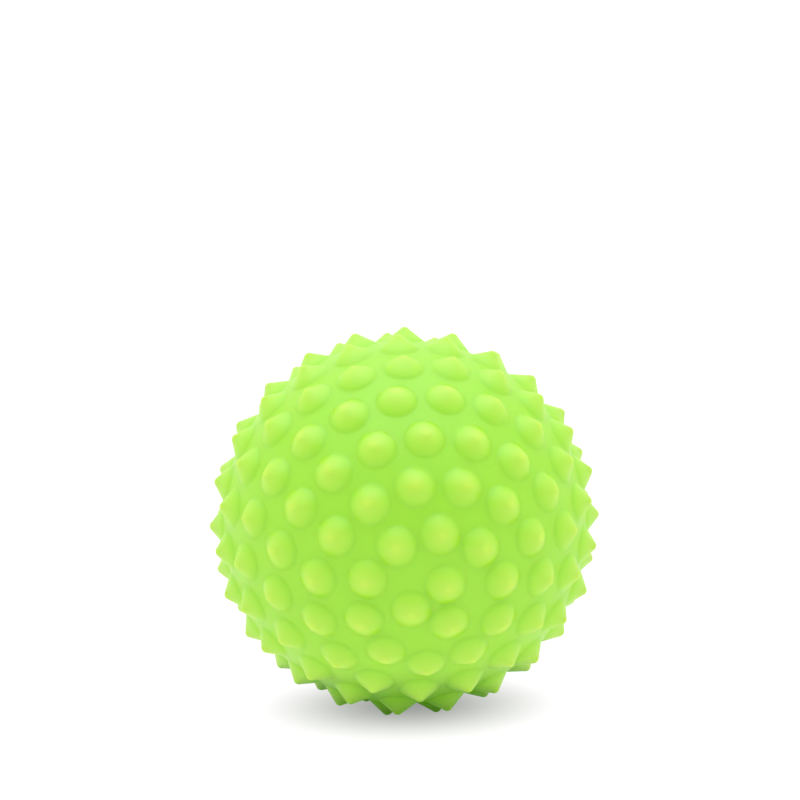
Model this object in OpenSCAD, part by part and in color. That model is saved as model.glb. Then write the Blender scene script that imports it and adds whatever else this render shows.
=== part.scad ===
// Soft spiky sensory ball, resting on three spikes with the floor at z = 0 below its centre.
// Two moulded half skins are bonded at a lap along the equator, and a pull-out plug closes
// the air hole at the back pole. The front pole faces -Y, turned a little to +X.

/* [Ball] */
// Diameter over the spike tips
ball_d = 100; // [80:1:140]
// Thickness of the skin between the spikes
skin_t = 2.2; // [1.6:0.1:3]
// Turn of the front pole from -Y towards +X
facing = 9; // [-180:1:180]

/* [Spikes] */
// Height of a spike above the skin
spike_h = 3.5; // [2.5:0.1:4.5]
// Diameter of a spike where its flank meets the skin
spike_d = 10.4; // [8:0.1:13]
// Least clear skin between the feet of neighbouring rings
spike_gap = 1.8; // [1.4:0.1:4]
// Radius of the rounded spike tip
spike_tip_r = 1.45; // [0.8:0.05:2]
// Radius of the fillet round the foot of a spike
spike_fillet_r = 1.8; // [0.6:0.1:2]
// Angle at which each ring of spikes starts, from the pole to the equator
ring_starts = [101, 0, 12.5, 5, 12, 7]; // [0:0.5:360]
// Share of a pitch that must be left over before a ring takes one more spike
left_over_share = 0.145; // [0:0.005:1]
// Turn of the back half against the front half
back_turn = 284; // [0:1:359]

/* [Seam] */
// Length of the lip that laps inside the back half
lap_l = 2.4; // [1.5:0.1:4]
// Gap for the adhesive round the lip
glue_gap = 0.05; // [0.02:0.01:0.2]

/* [Air plug] */
// Diameter of the air hole
air_hole_d = 5; // [3:0.1:7]
// Length of the air hole below the plug's head
air_hole_l = 6.5; // [5:0.1:10]
// Thickness of the neck round the inner end of the air hole
neck_t = 2; // [1.5:0.1:3]
// Diameter of the plug's head
plug_head_d = 9; // [8:0.1:12]
// Thickness of the plug's head at its rim
plug_head_t = 1.3; // [1:0.1:2]
// Height of the dome on the plug's head
plug_dome_h = 0.3; // [0.2:0.05:0.6]
// Length of the plug's shank
plug_shank_l = 6; // [4:0.1:9]
// Length of the taper on the plug's nose
plug_taper_l = 1.2; // [0.5:0.1:2]
// Radial clearance of the shank in the air hole
plug_clearance = 0.05; // [0.02:0.01:0.1]
// Radial clearance of the head in its recess
head_clearance = 0.3; // [0.2:0.05:0.6]

/* [Hidden] */
skin_fn = 128;
spike_fn = 32;
plug_fn = 48;
lime = [0.62, 0.9, 0.24];
deep_lime = [0.5, 0.8, 0.18];

// How far one surface bites into the next where a flank, tip or fillet runs on smoothly
bite = 0.03;
// How far a cut runs past the solid that it cuts
overrun = 1;

ball_r = ball_d / 2;
skin_r = ball_r - spike_h;
cavity_r = skin_r - skin_t;

// Flank of a spike, from its foot on the skin up to the rounded tip
foot_r = spike_d / 2;
foot_z = sqrt(skin_r * skin_r - foot_r * foot_r);
tip_z = ball_r - spike_tip_r;
foot_to_tip = norm([foot_r, tip_z - foot_z]);
flank_slope = atan2(tip_z - foot_z, foot_r) + asin((spike_tip_r - bite) / foot_to_tip);
flank_out = [sin(flank_slope), cos(flank_slope)];
flank_up = [-cos(flank_slope), sin(flank_slope)];
flank_top = [0, tip_z] + (spike_tip_r - bite) * flank_out;

// Fillet that runs from the flank to the skin
fillet_start = [foot_r, foot_z] + (spike_fillet_r - bite) * flank_out;
fillet_along = fillet_start * flank_up;
fillet_reach = skin_r + spike_fillet_r - bite;
fillet_slide = sqrt(fillet_along ^ 2 - fillet_start * fillet_start + fillet_reach ^ 2) - fillet_along;
fillet_c = fillet_start + fillet_slide * flank_up;
flank_foot = fillet_c - (spike_fillet_r - bite) * flank_out;
root_z = skin_r - skin_t / 2;

// Rings of spikes from the pole to the equator
spike_pitch = spike_d + spike_gap;
ring_total = round(PI * skin_r / 2 / spike_pitch);
ring_step = 90 / ring_total;
rings = [for (k = [0 : ring_total - 1]) k];
function ring_polar(k) = (k + 0.5) * ring_step;
function ring_length(k) = 2 * PI * skin_r * sin(ring_polar(k));
function ring_count(k) = max(1, ceil(ring_length(k) / spike_pitch - left_over_share));
function ring_start(k) = ring_starts[k % len(ring_starts)];
function spike_azimuth(k, i) = ring_start(k) + i * 360 / ring_count(k);
function spike_axis(k, i) = [
    sin(ring_polar(k)) * cos(spike_azimuth(k, i)),
    sin(ring_polar(k)) * sin(spike_azimuth(k, i)),
    cos(ring_polar(k))
];

// The three spikes at the bottom that carry the ball, and the direction midway between their tips
function steps_to(k, azimuth) = (azimuth - ring_start(k)) * ring_count(k) / 360;
seam_ring = ring_total - 1;
rest_ring = ring_total - 2;
rest_step = floor(steps_to(rest_ring, 180));
rest_azimuth = spike_azimuth(rest_ring, rest_step + 0.5);
rest_a = spike_axis(rest_ring, rest_step);
rest_b = spike_axis(rest_ring, rest_step + 1);
rest_c = spike_axis(seam_ring, round(steps_to(seam_ring, rest_azimuth)));
rest_normal = cross(rest_b - rest_a, rest_c - rest_a);
down = rest_normal / norm(rest_normal) * sign(rest_normal * rest_a);
down_polar = acos(down[2]);
down_azimuth = atan2(down[1], down[0]);
centre_h = tip_z * (down * rest_a) + spike_tip_r;

// Stepped parting between the two halves
lap_r = skin_r - skin_t / 2;
seam_reach = ball_r + overrun;

// Air hole, recess and plug on the back pole
air_hole_r = air_hole_d / 2;
recess_r = plug_head_d / 2 + head_clearance;
recess_depth = plug_head_t + plug_dome_h;
seat_z = skin_r - recess_depth;
neck_end_z = seat_z - air_hole_l;
shank_r = air_hole_r - plug_clearance;
nose_r = shank_r - plug_taper_l / 2;
head_r = plug_head_d / 2;
dome_r = (head_r ^ 2 + plug_dome_h ^ 2) / (2 * plug_dome_h);
plug_rim_r = recess_r + foot_r + spike_fillet_r;
back_rings = [for (k = rings) if (skin_r * sin(ring_polar(k)) > plug_rim_r) k];

// Places a ball whose front pole is +Z so that it stands on its three lowest spikes
module seated() {
    translate([0, 0, centre_h])
        rotate([0, 0, facing - 90])
            rotate([0, 180 - down_polar, 0])
                rotate([0, 0, -down_azimuth])
                    children();
}

// Turns a half whose pole is +Z over to the back
module at_back() {
    rotate([0, 0, back_turn])
        mirror([0, 0, 1])
            children();
}

// Half outline of a spike, standing upright over the ball's centre
module spike_outline() {
    difference() {
        intersection() {
            union() {
                translate([0, tip_z])
                    circle(r = spike_tip_r, $fn = spike_fn);
                polygon([
                    [0, root_z],
                    [fillet_c[0], root_z],
                    fillet_c,
                    flank_foot,
                    flank_top,
                    [0, tip_z]
                ]);
            }
            square([ball_r, ball_r + overrun]);
        }
        translate(fillet_c)
            circle(r = spike_fillet_r, $fn = spike_fn);
    }
}

// All spikes of the given rings round +Z
module spikes(ring_list) {
    for (k = ring_list, i = [0 : ring_count(k) - 1])
        rotate([0, ring_polar(k), spike_azimuth(k, i)])
            rotate_extrude($fn = spike_fn)
                spike_outline();
}

// Everything below the stepped parting, with the step moved out and down by gap
module below_parting(gap) {
    rotate_extrude($fn = skin_fn)
        polygon([
            [0, -seam_reach],
            [seam_reach, -seam_reach],
            [seam_reach, 0],
            [lap_r + gap, 0],
            [lap_r + gap, -lap_l - gap],
            [0, -lap_l - gap]
        ]);
}

// Hollow ball without spikes
module skin() {
    difference() {
        sphere(r = skin_r, $fn = skin_fn);
        sphere(r = cavity_r, $fn = skin_fn);
    }
}

// Front half of the skin, with the lip that laps inside the back half
module front_half() {
    color(lime)
        seated()
            union() {
                difference() {
                    skin();
                    below_parting(0);
                }
                spikes(rings);
            }
}

// Thick neck inside the back pole that carries the air hole
module neck() {
    translate([0, 0, neck_end_z])
        cylinder(
            h = root_z - neck_end_z,
            r1 = air_hole_r + neck_t,
            r2 = recess_r + neck_t,
            $fn = plug_fn
        );
}

// Air hole and the recess for the plug's head
module plug_cut() {
    translate([0, 0, neck_end_z - overrun])
        cylinder(h = air_hole_l + 2 * overrun, r = air_hole_r, $fn = plug_fn);
    translate([0, 0, seat_z])
        cylinder(h = recess_depth + overrun, r = recess_r, $fn = plug_fn);
}

// Back half of the skin, with the rebate for the lip and the neck for the plug
module back_half() {
    color(lime)
        seated()
            difference() {
                union() {
                    intersection() {
                        skin();
                        below_parting(glue_gap);
                    }
                    at_back() {
                        spikes(back_rings);
                        neck();
                    }
                }
                at_back()
                    plug_cut();
            }
}

// Half outline of the plug, with its head's seat at zero
module plug_outline() {
    polygon([
        [0, -plug_shank_l],
        [nose_r, -plug_shank_l],
        [shank_r, plug_taper_l - plug_shank_l],
        [shank_r, 0],
        [head_r, 0],
        [head_r, plug_head_t],
        [0, plug_head_t]
    ]);
    intersection() {
        translate([0, plug_head_t + plug_dome_h - dome_r])
            circle(r = dome_r, $fn = 4 * plug_fn);
        translate([0, plug_head_t - bite])
            square([head_r, plug_dome_h + overrun]);
    }
}

// Pull-out plug with a domed head, a straight shank and a tapered nose
module air_plug() {
    color(deep_lime)
        seated()
            at_back()
                translate([0, 0, seat_z])
                    rotate_extrude($fn = plug_fn)
                        plug_outline();
}

front_half();
back_half();
air_plug();
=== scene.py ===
"""Studio scene of a soft spiky sensory ball.

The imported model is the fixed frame. This script gives its two half skins and its air plug their
finishes, and sets up the pale floor, the soft light and the camera.
"""

import logging
import math
from dataclasses import dataclass
from enum import Enum
from typing import Any

import bmesh
import bpy
import numpy as np
from mathutils import Matrix, Vector


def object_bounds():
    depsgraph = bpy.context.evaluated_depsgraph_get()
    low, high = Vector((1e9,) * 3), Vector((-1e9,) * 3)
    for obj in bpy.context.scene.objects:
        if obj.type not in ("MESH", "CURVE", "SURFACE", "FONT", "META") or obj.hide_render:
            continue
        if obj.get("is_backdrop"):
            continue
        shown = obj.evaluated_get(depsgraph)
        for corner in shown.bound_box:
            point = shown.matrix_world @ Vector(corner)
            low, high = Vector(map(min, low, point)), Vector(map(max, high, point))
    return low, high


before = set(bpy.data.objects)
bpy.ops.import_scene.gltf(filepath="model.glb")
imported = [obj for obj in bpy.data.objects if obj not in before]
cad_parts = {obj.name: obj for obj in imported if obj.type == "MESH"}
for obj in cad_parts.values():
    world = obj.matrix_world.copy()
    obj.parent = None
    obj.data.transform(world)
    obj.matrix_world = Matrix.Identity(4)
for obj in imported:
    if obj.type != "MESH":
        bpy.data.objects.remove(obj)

LOG = logging.getLogger("sensory_ball")
MM = 0.001
IMAGE_PX = 800
WHITE_HEX = "#FFFFFF"
TOWARDS_CAMERA = (0, -1, 0)

# Sockets of the Mix node, by number because its kinds of value share their names
FACTOR = 0
VECTOR_A, VECTOR_B, VECTOR_OUT = 4, 5, 1
COLOUR_A, COLOUR_B, COLOUR_OUT = 6, 7, 2


def linear(hex_colour: str) -> tuple[float, float, float, float]:
    """Turns an sRGB hex colour to linear light.

    Args:
        hex_colour: Six hex digits, with or without a leading hash.

    Returns:
        Red, green, blue and an alpha of one.
    """
    digits = hex_colour.lstrip("#")
    srgb = [int(digits[i:i + 2], 16) / 255 for i in (0, 2, 4)]
    red, green, blue = (c / 12.92 if c <= 0.04045 else ((c + 0.055) / 1.055) ** 2.4 for c in srgb)
    return red, green, blue, 1.0


def add_node(
    tree: bpy.types.NodeTree,
    kind: str,
    values: dict[str | int, Any] | None = None,
    links: dict[str | int, bpy.types.NodeSocket] | None = None,
    **settings: Any,
) -> bpy.types.Node:
    """Adds a shader node with its settings, socket values and links.

    Args:
        tree: The node tree that gets the node.
        kind: Blender's name for the kind of node.
        values: Socket values by input name or number.
        links: Outputs of other nodes by input name or number.
        settings: The node's own properties.

    Returns:
        The new node.
    """
    node = tree.nodes.new(kind)
    for key, value in settings.items():
        setattr(node, key, value)
    for key, value in (values or {}).items():
        node.inputs[key].default_value = value
    for key, output in (links or {}).items():
        tree.links.new(output, node.inputs[key])
    return node


def ramp(
    tree: bpy.types.NodeTree,
    value: bpy.types.NodeSocket,
    ends: tuple[float, float],
    results: tuple[float, float] = (0.0, 1.0),
    shape: str = "LINEAR",
) -> bpy.types.NodeSocket:
    """Maps a value from one range to another and holds it at both ends.

    Args:
        tree: The node tree that gets the node.
        value: The value to map.
        ends: The values at which the ramp starts and stops.
        results: What the ramp gives there.
        shape: Blender's name for the course in between.

    Returns:
        The mapped value.
    """
    node = add_node(
        tree,
        "ShaderNodeMapRange",
        {"From Min": ends[0], "From Max": ends[1], "To Min": results[0], "To Max": results[1]},
        {"Value": value},
        interpolation_type=shape,
    )
    return node.outputs["Result"]


@dataclass(frozen=True)
class BallForm:
    """The ball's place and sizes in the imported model, in metres."""

    centre: Vector
    back_pole: Vector
    tip_radius: float
    spike_height: float = 3.5 * MM
    # Below the tips by this much, the front half has no face but the cavity's wall
    wall_depth: float = 4.9 * MM

    @property
    def skin_radius(self) -> float:
        """Radius of the skin between the spikes."""
        return self.tip_radius - self.spike_height

    @classmethod
    def from_frame(cls) -> "BallForm":
        """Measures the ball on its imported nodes.

        Returns:
            The ball's form.
        """
        low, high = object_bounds()
        tip_radius = max(high - low) / 2
        wall = cls._inner_wall((low + high) / 2, tip_radius - cls.wall_depth)
        centre = cls._sphere_centre(wall)
        plug = cls._points("air_plug").mean(axis=0)
        return cls(centre, (Vector(plug) - centre).normalized(), tip_radius)

    @staticmethod
    def _points(node: str) -> np.ndarray:
        """Gives a node's vertices as rows."""
        return np.array([vertex.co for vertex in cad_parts[node].data.vertices])

    @classmethod
    def _inner_wall(cls, middle: Vector, reach: float) -> np.ndarray:
        """Gives the front half's vertices on the cavity's wall."""
        points = cls._points("front_half")
        return points[np.linalg.norm(points - middle, axis=1) < reach]

    @staticmethod
    def _sphere_centre(points: np.ndarray) -> Vector:
        """Fits a sphere to points by least squares.

        Args:
            points: Points on the sphere, as rows.

        Returns:
            The sphere's centre.
        """
        system = np.column_stack((2 * points, np.ones(len(points))))
        squares = (points ** 2).sum(axis=1)
        return Vector(np.linalg.lstsq(system, squares, rcond=None)[0][:3])


@dataclass(frozen=True)
class SoftVinyl:
    """Plasticised vinyl, moulded against a finely blasted tool.

    It gives the eye a satin, slightly milky surface: light enters it, so the spikes look rounder.
    The tips get a paler colour by height as painted glow, the creases and the bottom by the floor
    get a deeper green and less gloss as painted shade, and fine tool grain keeps every highlight
    broad.
    """

    name: str
    body_hex: str
    mottle_hex: str
    # Paler colour towards the spike tips: painted glow, standing in for light spread inside them
    tip_glow_hex: str
    # Deep green where ambient occlusion finds the surface shut in, in creases and near the floor:
    # painted shade
    crease_shade_hex: str
    tip_spread: float = 0.9
    crease_mm: float = 20.0
    crease_shut: float = 0.15
    crease_open: float = 0.76
    crease_samples: int = 4
    roughness: float = 0.45
    tip_roughness: float = 0.4
    ior: float = 1.52
    gloss: float = 0.68
    scatter_weight: float = 1.0
    scatter_depth_mm: float = 3.0
    scatter_reach: tuple[float, float, float] = (0.7, 1.0, 0.25)
    seam_mm: float = 0.3
    foot_steepening: float = 0.15
    tip_rounding: float = 0.9
    mottle_mm: float = 14.0
    mottle_detail: float = 2.0
    peel_mm: float = 3.0
    peel_depth_mm: float = 0.012
    # The blasted tool's real grain is about 0.05 mm, too fine to show, so it is drawn coarser
    grain_mm: float = 0.5
    grain_depth_mm: float = 0.006
    grain_detail: float = 1.0

    def material(self, form: BallForm) -> bpy.types.Material:
        """Builds the node material.

        Args:
            form: The ball that the finish sits on.

        Returns:
            The material, named for its finish.
        """
        made = bpy.data.materials.new(self.name)
        made.use_nodes = True
        tree = made.node_tree
        tree.nodes.clear()
        where = add_node(tree, "ShaderNodeTexCoord")
        place = where.outputs["Object"]
        offset = add_node(
            tree, "ShaderNodeVectorMath", {1: form.centre}, {0: place}, operation="SUBTRACT"
        ).outputs["Vector"]
        height = self._height(tree, offset, form)
        rise = add_node(
            tree, "ShaderNodeMath", {1: self.tip_spread}, {0: height}, operation="POWER"
        ).outputs["Value"]
        openness = self._openness(tree)
        rounded = self._rounded(tree, where.outputs["Normal"], offset, height)
        shader = add_node(
            tree,
            "ShaderNodeBsdfPrincipled",
            {
                "IOR": self.ior,
                "Subsurface Radius": self.scatter_reach,
                "Subsurface Scale": self.scatter_depth_mm * MM,
            },
            {
                # The base colour carries painted glow at the tips and painted shade in the creases
                "Base Color": self._colour(tree, place, rise, openness),
                "Roughness": ramp(tree, rise, (0, 1), (self.roughness, self.tip_roughness)),
                # Painted shade: the gloss fades out where the surface is shut in
                "Specular IOR Level": ramp(tree, openness, (0, 1), (0, self.gloss)),
                "Subsurface Weight": self._scatter(tree, offset, form),
                "Normal": self._grain(tree, place, rounded),
            },
        )
        add_node(tree, "ShaderNodeOutputMaterial", links={"Surface": shader.outputs["BSDF"]})
        return made

    def _height(
        self, tree: bpy.types.NodeTree, offset: bpy.types.NodeSocket, form: BallForm
    ) -> bpy.types.NodeSocket:
        """Gives the height above the skin, from 0 at a spike's foot to 1 at its tip."""
        reach = add_node(tree, "ShaderNodeVectorMath", links={0: offset}, operation="LENGTH")
        return ramp(tree, reach.outputs["Value"], (form.skin_radius, form.tip_radius))

    def _rounded(
        self,
        tree: bpy.types.NodeTree,
        normal: bpy.types.NodeSocket,
        offset: bpy.types.NodeSocket,
        height: bpy.types.NodeSocket,
    ) -> bpy.types.NodeSocket:
        """Rounds the shading over a spike, because light spreads inside its milky tip.

        Args:
            tree: The material's node tree.
            normal: The surface's own direction.
            offset: The place, measured from the ball's centre.
            height: The height above the skin, as a share of a spike.

        Returns:
            The rounded direction, in the scene's frame.
        """
        outward = add_node(tree, "ShaderNodeVectorMath", links={0: offset}, operation="NORMALIZE")
        turned = add_node(
            tree,
            "ShaderNodeMix",
            links={
                FACTOR: ramp(tree, height, (0, 1), (-self.foot_steepening, self.tip_rounding)),
                VECTOR_A: normal,
                VECTOR_B: outward.outputs["Vector"],
            },
            data_type="VECTOR",
            clamp_factor=False,
        )
        in_world = add_node(
            tree,
            "ShaderNodeVectorTransform",
            links={"Vector": turned.outputs[VECTOR_OUT]},
            vector_type="NORMAL",
            convert_from="OBJECT",
            convert_to="WORLD",
        )
        return in_world.outputs["Vector"]

    def _openness(self, tree: bpy.types.NodeTree) -> bpy.types.NodeSocket:
        """Gives how open the surface lies, from 0 in a tight crease to 1 where it is clear; it
        masks the painted shade.
        """
        seen = add_node(
            tree,
            "ShaderNodeAmbientOcclusion",
            {"Distance": self.crease_mm * MM},
            samples=self.crease_samples,
        )
        return ramp(tree, seen.outputs["AO"], (self.crease_shut, self.crease_open))

    def _scatter(
        self, tree: bpy.types.NodeTree, offset: bpy.types.NodeSocket, form: BallForm
    ) -> bpy.types.NodeSocket:
        """Lets the scatter fade out at the bonded seam between the halves.

        Args:
            tree: The material's node tree.
            offset: The place, measured from the ball's centre.
            form: The ball that the finish sits on.

        Returns:
            The scatter's weight.
        """
        along = add_node(
            tree, "ShaderNodeVectorMath", {1: form.back_pole}, {0: offset}, operation="DOT_PRODUCT"
        )
        distance = add_node(
            tree, "ShaderNodeMath", links={0: along.outputs["Value"]}, operation="ABSOLUTE"
        )
        ends = (self.seam_mm * MM, (self.seam_mm + self.scatter_depth_mm) * MM)
        return ramp(tree, distance.outputs["Value"], ends, (0, self.scatter_weight))

    def _colour(
        self,
        tree: bpy.types.NodeTree,
        place: bpy.types.NodeSocket,
        rise: bpy.types.NodeSocket,
        openness: bpy.types.NodeSocket,
    ) -> bpy.types.NodeSocket:
        """Mixes the body colour and its cloudy pigment with painted tip glow and painted crease
        shade.

        Args:
            tree: The material's node tree.
            place: The place on the piece.
            rise: The share of the painted tip glow.
            openness: How open the surface lies, which sets the painted shade.

        Returns:
            The base colour.
        """
        cloud = add_node(
            tree,
            "ShaderNodeTexNoise",
            {"Scale": 1 / (self.mottle_mm * MM), "Detail": self.mottle_detail},
            {"Vector": place},
        )
        body = add_node(
            tree,
            "ShaderNodeMix",
            {COLOUR_A: linear(self.body_hex), COLOUR_B: linear(self.mottle_hex)},
            {FACTOR: cloud.outputs["Fac"]},
            data_type="RGBA",
        )
        # Painted glow: the colour turns paler towards the spike tips
        glowing_tips = add_node(
            tree,
            "ShaderNodeMix",
            {COLOUR_B: linear(self.tip_glow_hex)},
            {FACTOR: rise, COLOUR_A: body.outputs[COLOUR_OUT]},
            data_type="RGBA",
        )
        # Painted shade: deep green in creases and where the ball sits near the floor
        shaded_creases = add_node(
            tree,
            "ShaderNodeMix",
            {COLOUR_A: linear(self.crease_shade_hex)},
            {FACTOR: openness, COLOUR_B: glowing_tips.outputs[COLOUR_OUT]},
            data_type="RGBA",
        )
        return shaded_creases.outputs[COLOUR_OUT]

    def _grain(
        self,
        tree: bpy.types.NodeTree,
        place: bpy.types.NodeSocket,
        normal: bpy.types.NodeSocket,
    ) -> bpy.types.NodeSocket:
        """Layers the fine tool grain over the slight waviness of a soft moulding.

        Args:
            tree: The material's node tree.
            place: The place on the piece.
            normal: The direction that the grain is laid over.

        Returns:
            The direction with the grain in it.
        """
        for pitch, depth in (
            (self.peel_mm, self.peel_depth_mm),
            (self.grain_mm, self.grain_depth_mm),
        ):
            noise = add_node(
                tree,
                "ShaderNodeTexNoise",
                {"Scale": 1 / (pitch * MM), "Detail": self.grain_detail},
                {"Vector": place},
            )
            bump = add_node(
                tree,
                "ShaderNodeBump",
                {"Distance": depth * MM},
                {"Height": noise.outputs["Fac"], "Normal": normal},
            )
            normal = bump.outputs["Normal"]
        return normal


class Finish(Enum):
    """The finishes of the ball's pieces."""

    # Thick and milky, so that the whole ball seems to glow a little
    SKIN = SoftVinyl(
        name="lime_soft_vinyl_satin",
        body_hex="#9FE212",
        mottle_hex="#A2E416",
        tip_glow_hex="#BFE843",
        crease_shade_hex="#509400",
    )
    # Firmer and less milky, so that the plug looks a shade deeper than the skin round it
    PLUG = SoftVinyl(
        name="lime_firm_vinyl_plug",
        body_hex="#93D821",
        mottle_hex="#98DA26",
        tip_glow_hex="#93D821",
        crease_shade_hex="#5CB806",
        roughness=0.42,
        scatter_weight=0.2,
    )


@dataclass(frozen=True)
class MouldedPiece:
    """A CAD node that keeps its shape and gets a finish."""

    node: str
    slot: str
    finish: Finish

    def dress(self, form: BallForm) -> bpy.types.Object:
        """Gives the node its finish.

        Args:
            form: The ball that the finish sits on.

        Returns:
            The node's object.
        """
        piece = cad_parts[self.node]
        piece.data.materials.clear()
        piece.data.materials.append(self._shared_material(form))
        return piece

    def _shared_material(self, form: BallForm) -> bpy.types.Material:
        """Gives the finish's material, made once."""
        known = bpy.data.materials.get(self.finish.value.name)
        return known or self.finish.value.material(form)


@dataclass(frozen=True)
class Studio:
    """A light tent with a bright roof and a dimmer opening in front, over a glowing sheet with a
    painted shadow.
    """

    floor_half: float = 14.0
    floor_hex: str = "#7F757F"
    floor_roughness: float = 0.9
    floor_gloss: float = 0.1
    floor_glow: float = 0.9
    # The sheet's glow dims towards the ball's foot as a painted shadow, set by these three values
    painted_shadow_glow: float = 0.3
    painted_shadow_back_mm: float = 7.0
    painted_shadow_outer_mm: float = 48.0
    roof_hex: str = "#E1E4FF"
    roof_glow: float = 2.35
    wall_glow: float = 1.12
    opening_glow: float = 0.7
    opening_start: float = 0.3
    roof_start: float = 0.6
    roof_edge: float = 1.0
    roof_lean: float = 0.05

    def build(self) -> None:
        """Builds the floor and the tent."""
        self._floor()
        self._tent()
        bpy.context.scene.view_settings.view_transform = "Standard"

    def _floor(self) -> None:
        """Lays the floor, which isn't part of the object."""
        mesh = bpy.data.meshes.new("floor")
        shape = bmesh.new()
        bmesh.ops.create_grid(shape, x_segments=1, y_segments=1, size=self.floor_half)
        shape.to_mesh(mesh)
        shape.free()
        floor = bpy.data.objects.new("floor", mesh)
        bpy.context.scene.collection.objects.link(floor)
        sheet = self._sheet()
        mesh.materials.append(sheet)
        floor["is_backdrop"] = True

    def _sheet(self) -> bpy.types.Material:
        """Makes the glowing sheet of matt white acrylic, with a painted shadow under the ball.

        It gives the eye an even white floor; its glow dims towards the ball's foot as painted
        shadow, under the ball's own soft shadow.

        Returns:
            The sheet's material.
        """
        sheet = bpy.data.materials.new("white_sheet_painted_shadow")
        sheet.use_nodes = True
        tree = sheet.node_tree
        tree.nodes.clear()
        place = add_node(tree, "ShaderNodeTexCoord").outputs["Object"]
        spread = add_node(
            tree,
            "ShaderNodeVectorMath",
            {1: (0.0, self.painted_shadow_back_mm * MM, 0.0)},
            {0: place},
            operation="DISTANCE",
        )
        # Painted shadow: the glow dims towards a spot just behind the ball's foot
        ends = (0, self.painted_shadow_outer_mm * MM)
        glows = (self.painted_shadow_glow, self.floor_glow)
        glow = ramp(tree, spread.outputs["Value"], ends, glows, "SMOOTHSTEP")
        shader = add_node(
            tree,
            "ShaderNodeBsdfPrincipled",
            {
                "Base Color": linear(self.floor_hex),
                "Roughness": self.floor_roughness,
                "Specular IOR Level": self.floor_gloss,
                "Emission Color": linear(WHITE_HEX),
            },
            {"Emission Strength": glow},
        )
        add_node(tree, "ShaderNodeOutputMaterial", links={"Surface": shader.outputs["BSDF"]})
        return sheet

    def _tent(self) -> None:
        """Lights the scene from the tent, whose roof is brighter than its walls and opening."""
        world = bpy.data.worlds.new("light_tent")
        world.use_nodes = True
        tree = world.node_tree
        sky = tree.nodes["Background"]
        way = add_node(tree, "ShaderNodeTexCoord").outputs["Generated"]
        roof = Vector((0, -self.roof_lean, 1)).normalized()
        rise = add_node(tree, "ShaderNodeVectorMath", {1: roof}, {0: way}, operation="DOT_PRODUCT")
        ends = (self.roof_start, self.roof_edge)
        share = ramp(tree, rise.outputs["Value"], ends, shape="SMOOTHSTEP")
        front = add_node(
            tree, "ShaderNodeVectorMath", {1: TOWARDS_CAMERA}, {0: way}, operation="DOT_PRODUCT"
        )
        ends = (self.opening_start, 1.0)
        walls = add_node(
            tree,
            "ShaderNodeMix",
            {
                COLOUR_A: self._light(WHITE_HEX, self.wall_glow),
                COLOUR_B: self._light(WHITE_HEX, self.opening_glow),
            },
            {FACTOR: ramp(tree, front.outputs["Value"], ends, shape="SMOOTHSTEP")},
            data_type="RGBA",
        )
        glow = add_node(
            tree,
            "ShaderNodeMix",
            {COLOUR_B: self._light(self.roof_hex, self.roof_glow)},
            {FACTOR: share, COLOUR_A: walls.outputs[COLOUR_OUT]},
            data_type="RGBA",
        )
        tree.links.new(glow.outputs[COLOUR_OUT], sky.inputs["Color"])
        bpy.context.scene.world = world

    def _light(self, hex_colour: str, glow: float) -> tuple[float, float, float, float]:
        """Gives a colour of light at a strength."""
        red, green, blue, alpha = linear(hex_colour)
        return red * glow, green * glow, blue * glow, alpha


@dataclass(frozen=True)
class PhotoCamera:
    """The photograph's view: a long lens a little above the ball, with room over it."""

    azimuth_deg: float = -0.3
    elevation_deg: float = 10.2
    lean_right_deg: float = 1.2
    distance_radii: float = 17.3
    ball_radius_px: float = 194.5
    ball_x_px: float = 404.5
    ball_y_px: float = 521.5
    sensor_width: float = 36.0

    def build(self, form: BallForm) -> None:
        """Builds the camera and makes it the scene's own.

        Args:
            form: The ball that the camera looks at.
        """
        lens = bpy.data.cameras.new("photo_camera")
        camera = bpy.data.objects.new("photo_camera", lens)
        bpy.context.scene.collection.objects.link(camera)
        focal_px = self.ball_radius_px * self.distance_radii
        lens.sensor_width = self.sensor_width
        lens.lens = focal_px / IMAGE_PX * self.sensor_width
        sight = self._turn("Z", self.azimuth_deg) @ self._turn("X", 90 - self.elevation_deg)
        away = sight @ Vector((0, 0, form.tip_radius * self.distance_radii))
        rise = math.degrees(math.atan2(self.ball_y_px - IMAGE_PX / 2, focal_px))
        swing = math.degrees(math.atan2(self.ball_x_px - IMAGE_PX / 2, focal_px))
        aim = sight @ self._turn("Z", -self.lean_right_deg)
        aim = aim @ self._turn("X", rise) @ self._turn("Y", swing)
        camera.location = form.centre + away
        camera.rotation_euler = aim.to_euler()
        bpy.context.scene.camera = camera

    def _turn(self, axis: str, angle_deg: float) -> Matrix:
        """Gives a turn about one axis."""
        return Matrix.Rotation(math.radians(angle_deg), 3, axis)


PIECES = (
    MouldedPiece("front_half", "skin", Finish.SKIN),
    MouldedPiece("back_half", "skin", Finish.SKIN),
    MouldedPiece("air_plug", "plug", Finish.PLUG),
)


def main() -> None:
    """Dresses the ball and sets up the studio."""
    logging.basicConfig(level=logging.INFO)
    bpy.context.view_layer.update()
    form = BallForm.from_frame()
    for piece in PIECES:
        dressed = piece.dress(form)
        LOG.info("%s dressed as %s", dressed.name, piece.finish.value.name)
    Studio().build()
    PhotoCamera().build(form)


if __name__ == "__main__":
    main()
